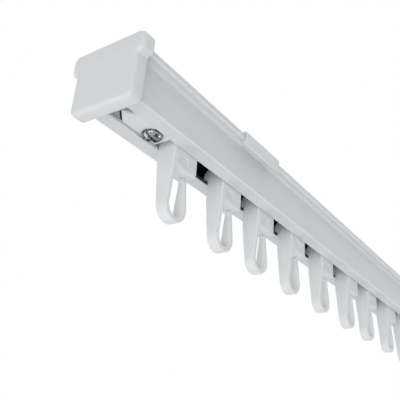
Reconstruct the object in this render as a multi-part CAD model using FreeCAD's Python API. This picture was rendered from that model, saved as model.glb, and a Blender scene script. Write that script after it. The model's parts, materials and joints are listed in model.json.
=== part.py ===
import FreeCAD, Part
import os

# Curtain track: an extruded ceiling rail with end caps, end stops, ceiling clips and hook gliders.
# X runs along the rail, Y across it and Z up. The origin is at mid-length on the ceiling plane,
# which is the top of the clips' bosses. All sizes are in millimetres.

# Rail section
overall_length = 600.0
body_width = 15.0
flange_width = 20.0
flange_thickness = 2.0
rail_height = 13.4
wall_thickness = 1.3
web_thickness = 1.6
lip_thickness = 1.3
slot_width = 6.0
flange_root_share = 0.28
rail_edge_radius = 0.5
guide_groove_width = 0.8
guide_groove_depth = 0.3

# End caps
cap_depth = 3.8
cap_wall = 1.6
cap_body_width = 19.6
cap_ear_overhang = 1.8
cap_ear_drop = 3.4
cap_skirt_below = 2.3
cap_rise = 2.5
cap_corner_radius = 1.8
cap_fit_clearance = 0.1
plug_length = 6.2
plug_clearance = 0.15
tongue_recess = 0.8

# End stops and their clamping screws
stop_gap = 0.4
stop_length = 15.5
stop_recess = 0.6
stop_neck_clearance = 0.1
stop_edge_radius = 0.4
screw_offset = 11.0
screw_shank_diameter = 3.0
screw_head_diameter = 5.6
screw_head_height = 2.4
screw_bore_clearance = 0.05
screw_tip_clearance = 0.05
recess_width = 0.8
recess_span = 3.0
recess_depth = 1.5

# Ceiling clips
clip_length = 19.2
clip_centre_from_end = 56.9
clip_sheet = 0.7
clip_side_clearance = 0.1
clip_side_drop = 4.0
clip_hook_land = 0.7
clip_hook_clearance = 0.05
clip_hook_lip = 0.6
clip_bend_radius = 0.8
clip_boss_rise = 2.0
clip_boss_diameter = 14.0
clip_boss_taper = 1.2
clip_hole_diameter = 4.5

# Gliders
glider_count = 12
first_glider_at = 25.2
photographed_steps = [22.8, 20.3, 22.7, 24.3, 24.7, 21.7, 25.0]
further_step = 23.0
glider_length = 10.2
head_radius = 4.4
head_clearance = 0.3
neck_clearance = 0.15
glider_block_drop = 5.2
glider_edge_radius = 0.5
hook_drop = 19.6
hook_outer_width = 8.8
hook_thickness = 1.6
hook_bend_width = 3.5
hook_tip_width = 2.2
hook_tip_gap = 0.35
hook_tip_ball_diameter = 2.6
hook_chamfer = 0.4
pocket_margin = 0.7
pocket_length = 4.0
pocket_height = 2.6
pocket_depth = 0.45

# Heights and lengths that follow from the sizes above
rail_top = -clip_sheet - clip_boss_rise
rail_bottom = rail_top - rail_height
channel_top = rail_top - web_thickness
lip_top = rail_bottom + lip_thickness
channel_width = body_width - 2 * wall_thickness
rail_length = overall_length - 2 * cap_wall
flange_root_radius = flange_root_share * (flange_width - body_width) / 2
cap_ear_width = cap_body_width + 2 * cap_ear_overhang
cap_ear_radius = 0.6 * cap_ear_overhang
cap_ear_root_radius = 0.3 * cap_ear_overhang
cap_edge_radius = 0.5 * cap_ear_overhang
near_end = -overall_length / 2
stop_start = near_end + cap_wall + plug_length + stop_gap
stop_half_neck = slot_width / 2 - stop_neck_clearance
stop_nose_centre = stop_start + stop_half_neck
stop_underside = rail_bottom + stop_recess

os.makedirs("parts", exist_ok=True)


def write(name, shape):
    shape.exportStep("parts/" + name + ".step")


def box(x0, x1, y0, y1, z0, z1):
    return Part.makeBox(x1 - x0, y1 - y0, z1 - z0, FreeCAD.Vector(x0, y0, z0))


def section_face(points, x):
    """Face in the plane X = x from a list of (y, z) points."""
    corners = [FreeCAD.Vector(x, y, z) for y, z in points]
    return Part.Face(Part.makePolygon(corners + corners[:1]))


def mirrored_outline(right_side):
    """Closed outline from its +Y half, listed from top to bottom."""
    left_side = [(-y, z) for y, z in reversed(right_side)]
    return right_side + left_side


def extrude_along_rail(points, x0, x1):
    return section_face(points, x0).extrude(FreeCAD.Vector(x1 - x0, 0, 0))


def edges_along_rail(shape, picks):
    """Edges parallel to X whose (y, z) lies at one of the picks, on either side of the middle."""
    found = []
    for edge in shape.Edges:
        first, last = edge.Vertexes[0].Point, edge.Vertexes[-1].Point
        if abs(first.y - last.y) > 1e-6 or abs(first.z - last.z) > 1e-6:
            continue
        if any(abs(abs(first.y) - y) < 1e-6 and abs(first.z - z) < 1e-6 for y, z in picks):
            found.append(edge)
    return found


def at_far_end(shape):
    """The same piece turned half a turn about Z, so that it faces the far end."""
    return shape.rotated(FreeCAD.Vector(0, 0, 0), FreeCAD.Vector(0, 0, 1), 180)


def rail_outline(grow):
    """Outside of the rail section, moved outwards by grow."""
    return mirrored_outline([
        (flange_width / 2 + grow, rail_top + grow),
        (flange_width / 2 + grow, rail_top - flange_thickness - grow),
        (body_width / 2 + grow, rail_top - flange_thickness - grow),
        (body_width / 2 + grow, rail_bottom - grow),
    ])


def make_rail():
    x0 = -rail_length / 2
    x1 = rail_length / 2
    solid = extrude_along_rail(rail_outline(0), x0, x1)
    under_flange = rail_top - flange_thickness
    solid = solid.makeFillet(flange_root_radius, edges_along_rail(solid, [(body_width / 2, under_flange)]))
    outer_edges = [
        (flange_width / 2, rail_top),
        (flange_width / 2, under_flange),
        (body_width / 2, rail_bottom),
    ]
    solid = solid.makeFillet(rail_edge_radius, edges_along_rail(solid, outer_edges))
    channel = box(x0, x1, -channel_width / 2, channel_width / 2, lip_top, channel_top)
    slot = box(x0, x1, -slot_width / 2, slot_width / 2, rail_bottom, lip_top)
    groove = box(x0, x1, -guide_groove_width / 2, guide_groove_width / 2, rail_top - guide_groove_depth, rail_top)
    return solid.cut(channel.fuse(slot)).cut(groove)


def make_near_cap():
    top = rail_top + cap_rise
    bottom = rail_bottom - cap_skirt_below
    ear_bottom = rail_top - cap_ear_drop
    outline = mirrored_outline([
        (cap_ear_width / 2, top),
        (cap_ear_width / 2, ear_bottom),
        (cap_body_width / 2, ear_bottom),
        (cap_body_width / 2, bottom),
    ])
    x0 = near_end
    solid = extrude_along_rail(outline, x0, x0 + cap_depth)
    main_corners = [(cap_ear_width / 2, top), (cap_body_width / 2, bottom)]
    solid = solid.makeFillet(cap_corner_radius, edges_along_rail(solid, main_corners))
    ear_root = [(cap_body_width / 2, ear_bottom)]
    solid = solid.makeFillet(cap_ear_root_radius, edges_along_rail(solid, ear_root))
    ear_tip = [(cap_ear_width / 2, ear_bottom)]
    solid = solid.makeFillet(cap_ear_radius, edges_along_rail(solid, ear_tip))
    front = [edge for edge in solid.Edges if abs(edge.BoundBox.XMax - x0) < 1e-6]
    solid = solid.makeFillet(cap_edge_radius, front)
    pocket = extrude_along_rail(rail_outline(cap_fit_clearance), x0 + cap_wall, x0 + cap_depth)
    pocket_root = (body_width / 2 + cap_fit_clearance, rail_top - flange_thickness - cap_fit_clearance)
    pocket_radius = flange_root_radius - cap_fit_clearance
    pocket = pocket.makeFillet(pocket_radius, edges_along_rail(pocket, [pocket_root]))
    plug = box(
        x0 + cap_wall,
        x0 + cap_wall + plug_length,
        -channel_width / 2 + plug_clearance,
        channel_width / 2 - plug_clearance,
        lip_top + plug_clearance,
        channel_top - plug_clearance,
    )
    tongue = box(
        x0 + cap_wall,
        stop_nose_centre,
        -slot_width / 2 + plug_clearance,
        slot_width / 2 - plug_clearance,
        rail_bottom + tongue_recess,
        lip_top + plug_clearance,
    )
    nose_room = Part.makeCylinder(
        stop_half_neck + stop_gap,
        rail_height,
        FreeCAD.Vector(stop_nose_centre, 0, rail_bottom),
    )
    return solid.cut(pocket).fuse([plug, tongue.cut(nose_room)]).removeSplitter()


def half_round_bar(x0, x1, radius, flat_at):
    """Bar along X with a half-round back and its flat side down at height flat_at."""
    axis = FreeCAD.Vector(1, 0, 0)
    rod = Part.makeCylinder(radius, x1 - x0, FreeCAD.Vector(x0, 0, flat_at), axis)
    upper = box(x0, x1, -radius, radius, flat_at, flat_at + radius)
    return rod.common(upper)


def make_near_stop():
    """Block clamped in the slot, with a round nose that lies in the end of the cap's tongue."""
    x1 = stop_start + stop_length
    height = lip_top - stop_underside
    head = half_round_bar(stop_nose_centre, x1, head_radius, lip_top)
    neck = box(stop_nose_centre, x1, -stop_half_neck, stop_half_neck, stop_underside, lip_top)
    nose = Part.makeCylinder(stop_half_neck, height, FreeCAD.Vector(stop_nose_centre, 0, stop_underside))
    neck = neck.fuse(nose).removeSplitter()
    low_edges = [edge for edge in neck.Edges if abs(edge.BoundBox.ZMax - stop_underside) < 1e-6]
    neck = neck.makeFillet(stop_edge_radius, low_edges)
    bore_radius = screw_shank_diameter / 2 + screw_bore_clearance
    start = FreeCAD.Vector(stop_start + screw_offset, 0, stop_underside)
    bore = Part.makeCylinder(bore_radius, height + head_radius, start)
    return head.fuse(neck).removeSplitter().cut(bore)


def make_near_screw():
    seat = stop_underside
    centre = FreeCAD.Vector(stop_start + screw_offset, 0, seat)
    shank_length = channel_top - screw_tip_clearance - seat
    shank = Part.makeCylinder(screw_shank_diameter / 2, shank_length, centre)
    head_radius_at_seat = screw_head_diameter / 2
    dome_radius = (head_radius_at_seat ** 2 + screw_head_height ** 2) / (2 * screw_head_height)
    dome_centre = centre + FreeCAD.Vector(0, 0, dome_radius - screw_head_height)
    ball = Part.makeSphere(dome_radius, dome_centre)
    below = centre - FreeCAD.Vector(0, 0, screw_head_height)
    head = ball.common(Part.makeCylinder(head_radius_at_seat, screw_head_height, below))
    low = seat - screw_head_height
    half = recess_span / 2
    thin = recess_width / 2
    along = box(centre.x - half, centre.x + half, -thin, thin, low, low + recess_depth)
    across = box(centre.x - thin, centre.x + thin, -half, half, low, low + recess_depth)
    cross = along.fuse(across).rotate(centre, FreeCAD.Vector(0, 0, 1), 45)
    return head.fuse(shank).removeSplitter().cut(cross)


def make_near_clip():
    centre = near_end + clip_centre_from_end
    x0 = centre - clip_length / 2
    x1 = centre + clip_length / 2
    inner = flange_width / 2 + clip_side_clearance
    outer = inner + clip_sheet
    plate_top = rail_top + clip_sheet
    bottom = rail_top - clip_side_drop
    hook_top = rail_top - flange_thickness - clip_hook_clearance
    land_end = inner - clip_hook_land
    profile = mirrored_outline([
        (outer, plate_top),
        (outer, bottom),
        (inner, bottom),
        (land_end, hook_top - clip_hook_lip),
        (land_end, hook_top),
        (inner, hook_top),
        (inner, rail_top),
    ])
    solid = extrude_along_rail(profile, x0, x1)
    solid = solid.makeFillet(clip_bend_radius, edges_along_rail(solid, [(outer, plate_top)]))
    solid = solid.makeFillet(clip_sheet / 3, edges_along_rail(solid, [(outer, bottom)]))
    foot_radius = clip_boss_diameter / 2
    top_radius = foot_radius - clip_boss_taper
    boss = Part.makeCone(foot_radius, top_radius, clip_boss_rise, FreeCAD.Vector(centre, 0, plate_top))
    hollow = Part.makeCone(
        foot_radius - clip_sheet,
        top_radius - clip_sheet,
        clip_boss_rise,
        FreeCAD.Vector(centre, 0, rail_top),
    )
    hole = Part.makeCylinder(clip_hole_diameter / 2, -rail_top, FreeCAD.Vector(centre, 0, rail_top))
    return solid.fuse(boss).removeSplitter().cut(hollow).cut(hole)


def hook_section(centre, along, width):
    """Closed wire of a rectangle with chamfered corners, the hook's thickness in its plane and the width across it."""
    out = FreeCAD.Vector(-along.z, 0, along.x)
    side = FreeCAD.Vector(0, 1, 0)
    half_t = hook_thickness / 2
    half_w = width / 2
    short_t = half_t - hook_chamfer
    short_w = half_w - hook_chamfer
    corners = [
        (half_t, short_w),
        (short_t, half_w),
        (-short_t, half_w),
        (-half_t, short_w),
        (-half_t, -short_w),
        (-short_t, -half_w),
        (short_t, -half_w),
        (half_t, -short_w),
    ]
    points = [centre + out * t + side * w for t, w in corners]
    return Part.makePolygon(points + points[:1])


def make_glider(front):
    """Glider whose front face is at X = front; its hook lies in the XZ plane."""
    back = front + glider_length
    seat = lip_top + head_clearance
    half_neck = slot_width / 2 - neck_clearance
    block_bottom = rail_bottom - glider_block_drop
    head = half_round_bar(front, back, head_radius, seat)
    block = box(front, back, -half_neck, half_neck, block_bottom, seat)
    upright = [edge for edge in block.Edges if abs(edge.BoundBox.ZLength - (seat - block_bottom)) < 1e-6]
    block = block.makeFillet(glider_edge_radius, upright)
    body = head.fuse(block).removeSplitter()
    pocket_x = front + hook_thickness + pocket_margin
    pocket_z = rail_bottom - (glider_block_drop + pocket_height) / 2
    for side in (-1, 1):
        low, high = sorted((side * half_neck, side * (half_neck - pocket_depth)))
        body = body.cut(box(pocket_x, pocket_x + pocket_length, low, high, pocket_z, pocket_z + pocket_height))

    down = FreeCAD.Vector(0, 0, -1)
    up = FreeCAD.Vector(0, 0, 1)
    bend_radius = hook_outer_width / 2
    bend_centre = FreeCAD.Vector(front + bend_radius, 0, rail_bottom - hook_drop + bend_radius)
    front_x = front + hook_thickness / 2
    back_x = front + hook_outer_width - hook_thickness / 2
    tip_z = block_bottom - hook_tip_gap - hook_tip_ball_diameter / 2
    leg_top = hook_section(FreeCAD.Vector(front_x, 0, block_bottom), down, 2 * half_neck)
    leg_bottom = hook_section(FreeCAD.Vector(front_x, 0, bend_centre.z), down, hook_bend_width)
    back_bottom = hook_section(FreeCAD.Vector(back_x, 0, bend_centre.z), up, hook_bend_width)
    back_top = hook_section(FreeCAD.Vector(back_x, 0, tip_z), up, hook_tip_width)
    front_leg = Part.makeLoft([leg_top, leg_bottom], True, True)
    back_leg = Part.makeLoft([back_bottom, back_top], True, True)
    bend = Part.Face(leg_bottom).revolve(bend_centre, FreeCAD.Vector(0, -1, 0), 180)
    ball = Part.makeSphere(hook_tip_ball_diameter / 2, FreeCAD.Vector(back_x, 0, tip_z))
    return body.fuse([front_leg, bend, back_leg, ball]).removeSplitter()


write("rail", make_rail())

near_cap = make_near_cap()
write("end_cap_near", near_cap)
write("end_cap_far", at_far_end(near_cap))

near_stop = make_near_stop()
write("end_stop_near", near_stop)
write("end_stop_far", at_far_end(near_stop))

near_screw = make_near_screw()
write("end_stop_screws", Part.makeCompound([near_screw, at_far_end(near_screw)]))

near_clip = make_near_clip()
write("ceiling_clip_near", near_clip)
write("ceiling_clip_far", at_far_end(near_clip))

first_front = near_end + first_glider_at
first_glider = make_glider(first_front)
front = first_front
for number in range(1, glider_count + 1):
    write("glider_%02d" % number, first_glider.translated(FreeCAD.Vector(front - first_front, 0, 0)))
    photographed = number <= len(photographed_steps)
    front += photographed_steps[number - 1] if photographed else further_step
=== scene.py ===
import json
import logging
import math
from dataclasses import dataclass, replace
from enum import Enum
from typing import Any, Optional, Sequence, Union

import bmesh
import bpy
from mathutils import Matrix, Vector

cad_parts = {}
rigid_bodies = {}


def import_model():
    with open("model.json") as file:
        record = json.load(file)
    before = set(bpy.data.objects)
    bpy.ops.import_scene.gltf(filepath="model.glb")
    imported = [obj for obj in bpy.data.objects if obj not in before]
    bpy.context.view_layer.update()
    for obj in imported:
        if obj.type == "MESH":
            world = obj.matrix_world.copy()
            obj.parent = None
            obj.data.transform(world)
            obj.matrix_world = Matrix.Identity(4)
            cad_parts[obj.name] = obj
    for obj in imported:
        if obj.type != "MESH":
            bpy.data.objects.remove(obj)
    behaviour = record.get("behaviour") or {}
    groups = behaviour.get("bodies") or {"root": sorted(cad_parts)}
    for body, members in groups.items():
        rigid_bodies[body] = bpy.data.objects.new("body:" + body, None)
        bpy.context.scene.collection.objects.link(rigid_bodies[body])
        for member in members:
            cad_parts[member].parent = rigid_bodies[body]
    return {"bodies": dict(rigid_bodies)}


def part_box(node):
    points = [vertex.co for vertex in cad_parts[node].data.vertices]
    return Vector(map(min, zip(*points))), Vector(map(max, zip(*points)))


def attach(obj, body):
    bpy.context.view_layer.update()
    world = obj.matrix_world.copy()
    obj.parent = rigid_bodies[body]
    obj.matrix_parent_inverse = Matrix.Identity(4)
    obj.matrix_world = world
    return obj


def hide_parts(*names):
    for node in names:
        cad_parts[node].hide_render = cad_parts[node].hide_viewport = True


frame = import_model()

LOG = logging.getLogger("curtain_track")
MM = 0.001
TRACK_BODY = "track"
Point = tuple[float, float]
Loop = list[Vector]
Value = Union["Sock", float, int, tuple, Vector, bpy.types.Material]


class End(Enum):
    """Which end of the rail a piece belongs to; the value is the sign of X there."""

    NEAR = -1
    FAR = 1

    @property
    def word(self) -> str:
        """Ending of the node names at this end."""
        return self.name.lower()


class Sock:
    """A node's output socket that takes part in Python expressions."""

    def __init__(self, graph: "Graph", socket: bpy.types.NodeSocket) -> None:
        """Keeps the socket together with the graph that it belongs to."""
        self.graph = graph
        self.socket = socket

    def _math(self, operation: str, first: Value, second: Value) -> "Sock":
        """Adds one Math node.

        Args:
            operation: Blender's name of the operation.
            first: Left operand.
            second: Right operand.

        Returns:
            The node's result.
        """
        return self.graph.add("ShaderNodeMath", {"operation": operation}, {0: first, 1: second})

    def __add__(self, other: Value) -> "Sock":
        """Sum."""
        return self._math("ADD", self, other)

    def __radd__(self, other: Value) -> "Sock":
        """Sum with a number on the left."""
        return self._math("ADD", other, self)

    def __sub__(self, other: Value) -> "Sock":
        """Difference."""
        return self._math("SUBTRACT", self, other)

    def __rsub__(self, other: Value) -> "Sock":
        """Difference from a number on the left."""
        return self._math("SUBTRACT", other, self)

    def __mul__(self, other: Value) -> "Sock":
        """Product."""
        return self._math("MULTIPLY", self, other)

    def __rmul__(self, other: Value) -> "Sock":
        """Product with a number on the left."""
        return self._math("MULTIPLY", other, self)

    def size(self) -> "Sock":
        """The value without its sign."""
        return self._math("ABSOLUTE", self, 0.0)

    def ramp(self, start: float, end: float) -> "Sock":
        """Rises evenly from 0 at the start to 1 at the end, and stays there."""
        return self.graph.add("ShaderNodeMapRange", {}, {"Value": self, "From Min": start, "From Max": end})

    def under(self, limit: Value) -> "Sock":
        """1 where the value is less than the limit, else 0."""
        return self._math("LESS_THAN", self, limit)

    def over(self, limit: Value) -> "Sock":
        """1 where the value is more than the limit, else 0."""
        return self._math("GREATER_THAN", self, limit)


class Graph:
    """A node tree with one method that adds any node."""

    def __init__(self, tree: bpy.types.NodeTree) -> None:
        """Keeps the tree that nodes are added to."""
        self.tree = tree

    def add(
        self,
        kind: str,
        settings: Optional[dict[str, Any]] = None,
        inputs: Optional[dict[Union[str, int], Value]] = None,
        output: Union[str, int] = 0,
    ) -> Sock:
        """Adds a node, sets it up and links it.

        Args:
            kind: Blender's type name of the node.
            settings: Properties of the node, set before its sockets.
            inputs: Values or links for its input sockets, by name or number.
            output: The output socket to return.

        Returns:
            The chosen output socket, or the input socket of a node that ends the tree.
        """
        node = self.tree.nodes.new(kind)
        for name, value in (settings or {}).items():
            setattr(node, name, value)
        for key, value in (inputs or {}).items():
            if isinstance(value, Sock):
                self.tree.links.new(value.socket, node.inputs[key])
            else:
                node.inputs[key].default_value = value
        return Sock(self, (node.outputs or node.inputs)[output])

    def noise(self, place: Sock, scale: float, detail: float) -> Sock:
        """Noise between 0 and 1.

        Args:
            place: Coordinates in metres.
            scale: Features to the metre.
            detail: Octaves of finer noise.

        Returns:
            The noise value.
        """
        return self.add("ShaderNodeTexNoise", {}, {"Vector": place, "Scale": scale, "Detail": detail})

    def split(self, place: Sock) -> tuple[Sock, Sock, Sock]:
        """The X, Y and Z of a place."""
        x, y, z = (self.add("ShaderNodeSeparateXYZ", {}, {0: place}, axis) for axis in "XYZ")
        return x, y, z

    def mix(self, factor: Value, first: Value, second: Value) -> Sock:
        """Mix of two colours.

        Args:
            factor: Share of the second colour.
            first: First colour.
            second: Second colour.

        Returns:
            The mixed colour.
        """
        return self.add("ShaderNodeMix", {"data_type": "RGBA"}, {0: factor, 6: first, 7: second}, 2)


def blank_material(name: str) -> tuple[bpy.types.Material, Graph]:
    """Makes a material that has no nodes yet.

    Args:
        name: Name of the material.

    Returns:
        The material and the graph that its nodes go into.
    """
    material = bpy.data.materials.new(name)
    material.use_nodes = True
    material.node_tree.nodes.clear()
    return material, Graph(material.node_tree)


@dataclass(frozen=True)
class Finish:
    """A surface finish: its colours, its gloss and the grain that its subclass adds."""

    name: str
    slot: str
    tone: tuple[float, float, float]
    shade: tuple[float, float, float]
    roughness: float
    metallic: float = 0.0
    scatter: float = 0.0
    scatter_depth: float = 1.0 * MM
    shine: float = 0.5
    bump_strength: float = 0.35

    def make(self) -> bpy.types.Material:
        """Builds the material.

        Returns:
            The finished material.
        """
        material, graph = blank_material(self.name)
        place = graph.add("ShaderNodeTexCoord", output="Object")
        colour_mask, gloss_change, height, depth = self.grain(graph, place)
        colour = graph.mix(colour_mask, (*self.tone, 1.0), (*self.shade, 1.0))
        colour = self.zoned(graph, place, colour)
        bump = graph.add(
            "ShaderNodeBump", {}, {"Strength": self.bump_strength, "Distance": depth, "Height": height}
        )
        surface = graph.add(
            "ShaderNodeBsdfPrincipled",
            {},
            {
                "Base Color": colour,
                "Roughness": gloss_change + self.roughness,
                "Metallic": self.metallic,
                "Specular IOR Level": self.shine,
                "Subsurface Weight": self.scatter,
                "Subsurface Radius": (1.0, 1.0, 1.0),
                "Subsurface Scale": self.scatter_depth,
                "Normal": bump,
            },
        )
        graph.add("ShaderNodeOutputMaterial", {}, {"Surface": surface})
        return material

    def grain(self, graph: Graph, place: Sock) -> tuple[Sock, Sock, Sock, float]:
        """What changes over the surface.

        Args:
            graph: The material's graph.
            place: Object coordinates in metres.

        Returns:
            The share of the shade colour, the change of roughness, the bump height and its depth in metres.
        """
        raise NotImplementedError

    def zoned(self, graph: Graph, place: Sock, colour: Sock) -> Sock:
        """The colour after any zone of its own has been laid over it; here there is none."""
        return colour


@dataclass(frozen=True)
class CoatedExtrusion(Finish):
    """Satin coating on metal that still shows faint die lines along X and a fine orange peel."""

    peel_scale: float = 1700.0
    line_scale: float = 1100.0
    line_stretch: float = 0.004
    cloud_scale: float = 45.0
    peel_depth: float = 0.02 * MM

    def grain(self, graph: Graph, place: Sock) -> tuple[Sock, Sock, Sock, float]:
        """Die lines, orange peel and slow clouds in the coating.

        Args:
            graph: The material's graph.
            place: Object coordinates in metres.

        Returns:
            The share of the shade colour, the change of roughness, the bump height and its depth in metres.
        """
        drawn = graph.add("ShaderNodeMapping", {}, {"Vector": place, "Scale": (self.line_stretch, 1.0, 1.0)})
        lines = graph.noise(drawn, self.line_scale, 2.0)
        peel = graph.noise(place, self.peel_scale, 2.0)
        clouds = graph.noise(place, self.cloud_scale, 3.0)
        mask = lines * 0.15 + clouds * 0.45
        gloss = (lines - 0.5) * 0.05 + (clouds - 0.5) * 0.10
        return mask, gloss, peel * 0.7 + lines * 0.1, self.peel_depth


@dataclass(frozen=True)
class CoatedChannel(CoatedExtrusion):
    """The same coating on a channel, with painted highlights along its outer edges and painted near-black
    shade in its hollow and on the slot's walls between the end gliders.
    """

    half_width: float = 0.0
    low: float = 0.0
    high: float = 0.0
    throat_half_length: float = 0.0
    throat_half_width: float = 0.0
    throat_low: float = 0.0
    # Near-black painted shade for the hollow and the slot's walls between the end gliders.
    painted_shade_tone: tuple[float, float, float] = (0.035, 0.036, 0.038)
    # Where painted highlights run: pale bands along the outer edges, standing in for the lamps' highlight
    # lines.
    edges: tuple[Point, ...] = ()
    painted_highlight_width: float = 0.5 * MM
    painted_highlight_tone: tuple[float, float, float] = (0.95, 0.965, 0.972)

    def zoned(self, graph: Graph, place: Sock, colour: Sock) -> Sock:
        """Lays painted highlights along the outer edges, and painted near-black shade over the hollow and the
        slot's walls between the end gliders.

        Args:
            graph: The material's graph.
            place: Object coordinates in metres.
            colour: Colour of the coating.

        Returns:
            The coating's colour with its painted highlights, and the painted shade over the hollow and the
            slot's walls.
        """
        x, y, height = graph.split(place)
        along = x.size()
        across = y.size()
        # Painted highlights: a pale band along the flange's lower edge and the bottom outer edges, where the
        # lamps' highlight lines fall.
        for side, level in self.edges:
            thin = across.ramp(side - self.painted_highlight_width, side) * height.ramp(level + self.painted_highlight_width, level)
            colour = graph.mix(thin, colour, (*self.painted_highlight_tone, 1.0))
        # Painted shade: near black over the channel's hollow and over the slot's walls between the end
        # gliders, where the channel lies in shadow.
        hollow = across.under(self.half_width) * height.over(self.low) * height.under(self.high)
        walls = across.under(self.throat_half_width) * height.over(self.throat_low) * height.under(self.high)
        throat = walls * along.under(self.throat_half_length)
        painted_shade_mask = hollow + throat - hollow * throat
        return graph.mix(painted_shade_mask, colour, (*self.painted_shade_tone, 1.0))


@dataclass(frozen=True)
class MouldedPlastic(Finish):
    """Injection-moulded plastic with the fine matt grain of a spark-eroded mould and soft flow marks."""

    spark_scale: float = 4200.0
    spark_depth: float = 0.025 * MM
    flow_scale: float = 130.0

    def grain(self, graph: Graph, place: Sock) -> tuple[Sock, Sock, Sock, float]:
        """Spark grain and flow marks.

        Args:
            graph: The material's graph.
            place: Object coordinates in metres.

        Returns:
            The share of the shade colour, the change of roughness, the bump height and its depth in metres.
        """
        spark = graph.noise(place, self.spark_scale, 1.0)
        flow = graph.noise(place, self.flow_scale, 3.0)
        mask = flow * 0.6 + spark * 0.15
        return mask, (flow - 0.5) * 0.16, spark + flow * 0.3, self.spark_depth


@dataclass(frozen=True)
class CapPlastic(MouldedPlastic):
    """The same plastic with painted shade, a dark grey, where it stands in the rail's slot."""

    slot_shade_half_length: float = 0.0
    slot_shade_half_width: float = 0.0
    slot_shade_low: float = 0.0
    # Dark grey of the painted shade in the slot.
    slot_shade_tone: tuple[float, float, float] = (0.34, 0.35, 0.356)

    def zoned(self, graph: Graph, place: Sock, colour: Sock) -> Sock:
        """Lays painted shade, a dark grey, over what stands in the slot.

        Args:
            graph: The material's graph.
            place: Object coordinates in metres.
            colour: Colour of the plastic.

        Returns:
            The plastic's colour outside the slot and the painted shade in it.
        """
        x, y, height = graph.split(place)
        along = x.size()
        across = y.size()
        # Painted shade: dark grey over the plug and tongue where they stand in the slot, in the shadow of the
        # cap's skirt and the lips.
        inside = along.under(self.slot_shade_half_length) * across.under(self.slot_shade_half_width)
        return graph.mix(inside * height.over(self.slot_shade_low), colour, (*self.slot_shade_tone, 1.0))


@dataclass(frozen=True)
class PolishedNylon(Finish):
    """Smooth nylon with a slight unevenness from the mould and fine rubbing marks along X."""

    mark_scale: float = 2400.0
    mark_stretch: float = 0.05
    sink_scale: float = 260.0
    sink_depth: float = 0.03 * MM

    def grain(self, graph: Graph, place: Sock) -> tuple[Sock, Sock, Sock, float]:
        """Soft sink marks and rubbing marks.

        Args:
            graph: The material's graph.
            place: Object coordinates in metres.

        Returns:
            The share of the shade colour, the change of roughness, the bump height and its depth in metres.
        """
        rubbed = graph.add("ShaderNodeMapping", {}, {"Vector": place, "Scale": (self.mark_stretch, 1.0, 1.0)})
        marks = graph.noise(rubbed, self.mark_scale, 2.0)
        sinks = graph.noise(place, self.sink_scale, 2.0)
        mask = sinks * 0.55 + marks * 0.2
        gloss = (marks - 0.5) * 0.14 + (sinks - 0.5) * 0.08
        return mask, gloss, sinks + marks * 0.2, self.sink_depth


@dataclass(frozen=True)
class BrightPlate(Finish):
    """Plating on a steel screw whose colour is darkened and patched with painted dark reflections, with fine
    tool marks.
    """

    reflection_scale: float = 900.0
    reflection_contrast: float = 7.0
    reflection_start: float = -3.0
    mark_scale: float = 5200.0
    mark_depth: float = 0.008 * MM

    def grain(self, graph: Graph, place: Sock) -> tuple[Sock, Sock, Sock, float]:
        """Painted dark reflections and fine tool marks.

        Args:
            graph: The material's graph.
            place: Object coordinates in metres.

        Returns:
            The share of the shade colour, the change of roughness, the bump height and its depth in metres.
        """
        drawn = graph.add("ShaderNodeMapping", {}, {"Vector": place, "Scale": (0.7, 1.5, 1.0)})
        # Painted reflections: steep noise patches the colour between the tone and near black, in place of the
        # dark surroundings that the plating mirrors.
        painted_reflection_noise = graph.noise(drawn, self.reflection_scale, 2.0)
        marks = graph.noise(place, self.mark_scale, 1.0)
        mask = graph.add(
            "ShaderNodeMath",
            {"operation": "MULTIPLY_ADD", "use_clamp": True},
            {0: painted_reflection_noise, 1: self.reflection_contrast, 2: self.reflection_start},
        )
        return mask, (painted_reflection_noise - 0.5) * 0.12, marks, self.mark_depth


RAIL_COAT = CoatedChannel("rail_coat", "rail_coat", (0.718, 0.756, 0.775), (0.675, 0.711, 0.73), 0.36)
CLIP_COAT = CoatedExtrusion("clip_coat", "clip_coat", (0.77, 0.803, 0.82), (0.72, 0.752, 0.77), 0.30)
CAP_PLASTIC = CapPlastic(
    "cap_plastic", "cap_plastic", (0.79, 0.82, 0.833), (0.75, 0.78, 0.793), 0.55, shine=0.2
)
STOP_PLASTIC = MouldedPlastic(
    "stop_plastic", "stop_plastic", (0.79, 0.815, 0.828), (0.75, 0.775, 0.788), 0.44
)
GLIDER_NYLON = PolishedNylon(
    "glider_nylon", "glider_plastic", (0.825, 0.846, 0.855), (0.785, 0.806, 0.815), 0.42, scatter=0.2
)
# Dark tone and near-black patches: painted dark reflections on the plating.
SCREW_PLATE = BrightPlate(
    "screw_plate", "screw_metal", (0.33, 0.333, 0.338), (0.04, 0.041, 0.043), 0.17, metallic=1.0
)


@dataclass(frozen=True)
class Corner:
    """A corner of a flat outline, most often in the YZ plane, and the radius that rounds it, in metres."""

    y: float
    z: float
    radius: float


def both_sides(right: Sequence[Corner]) -> list[Corner]:
    """Closes an outline whose right half is listed from bottom to top.

    Args:
        right: Corners with positive y.

    Returns:
        All corners, anticlockwise.
    """
    return list(right) + [Corner(-c.y, c.z, c.radius) for c in reversed(right)]


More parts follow.
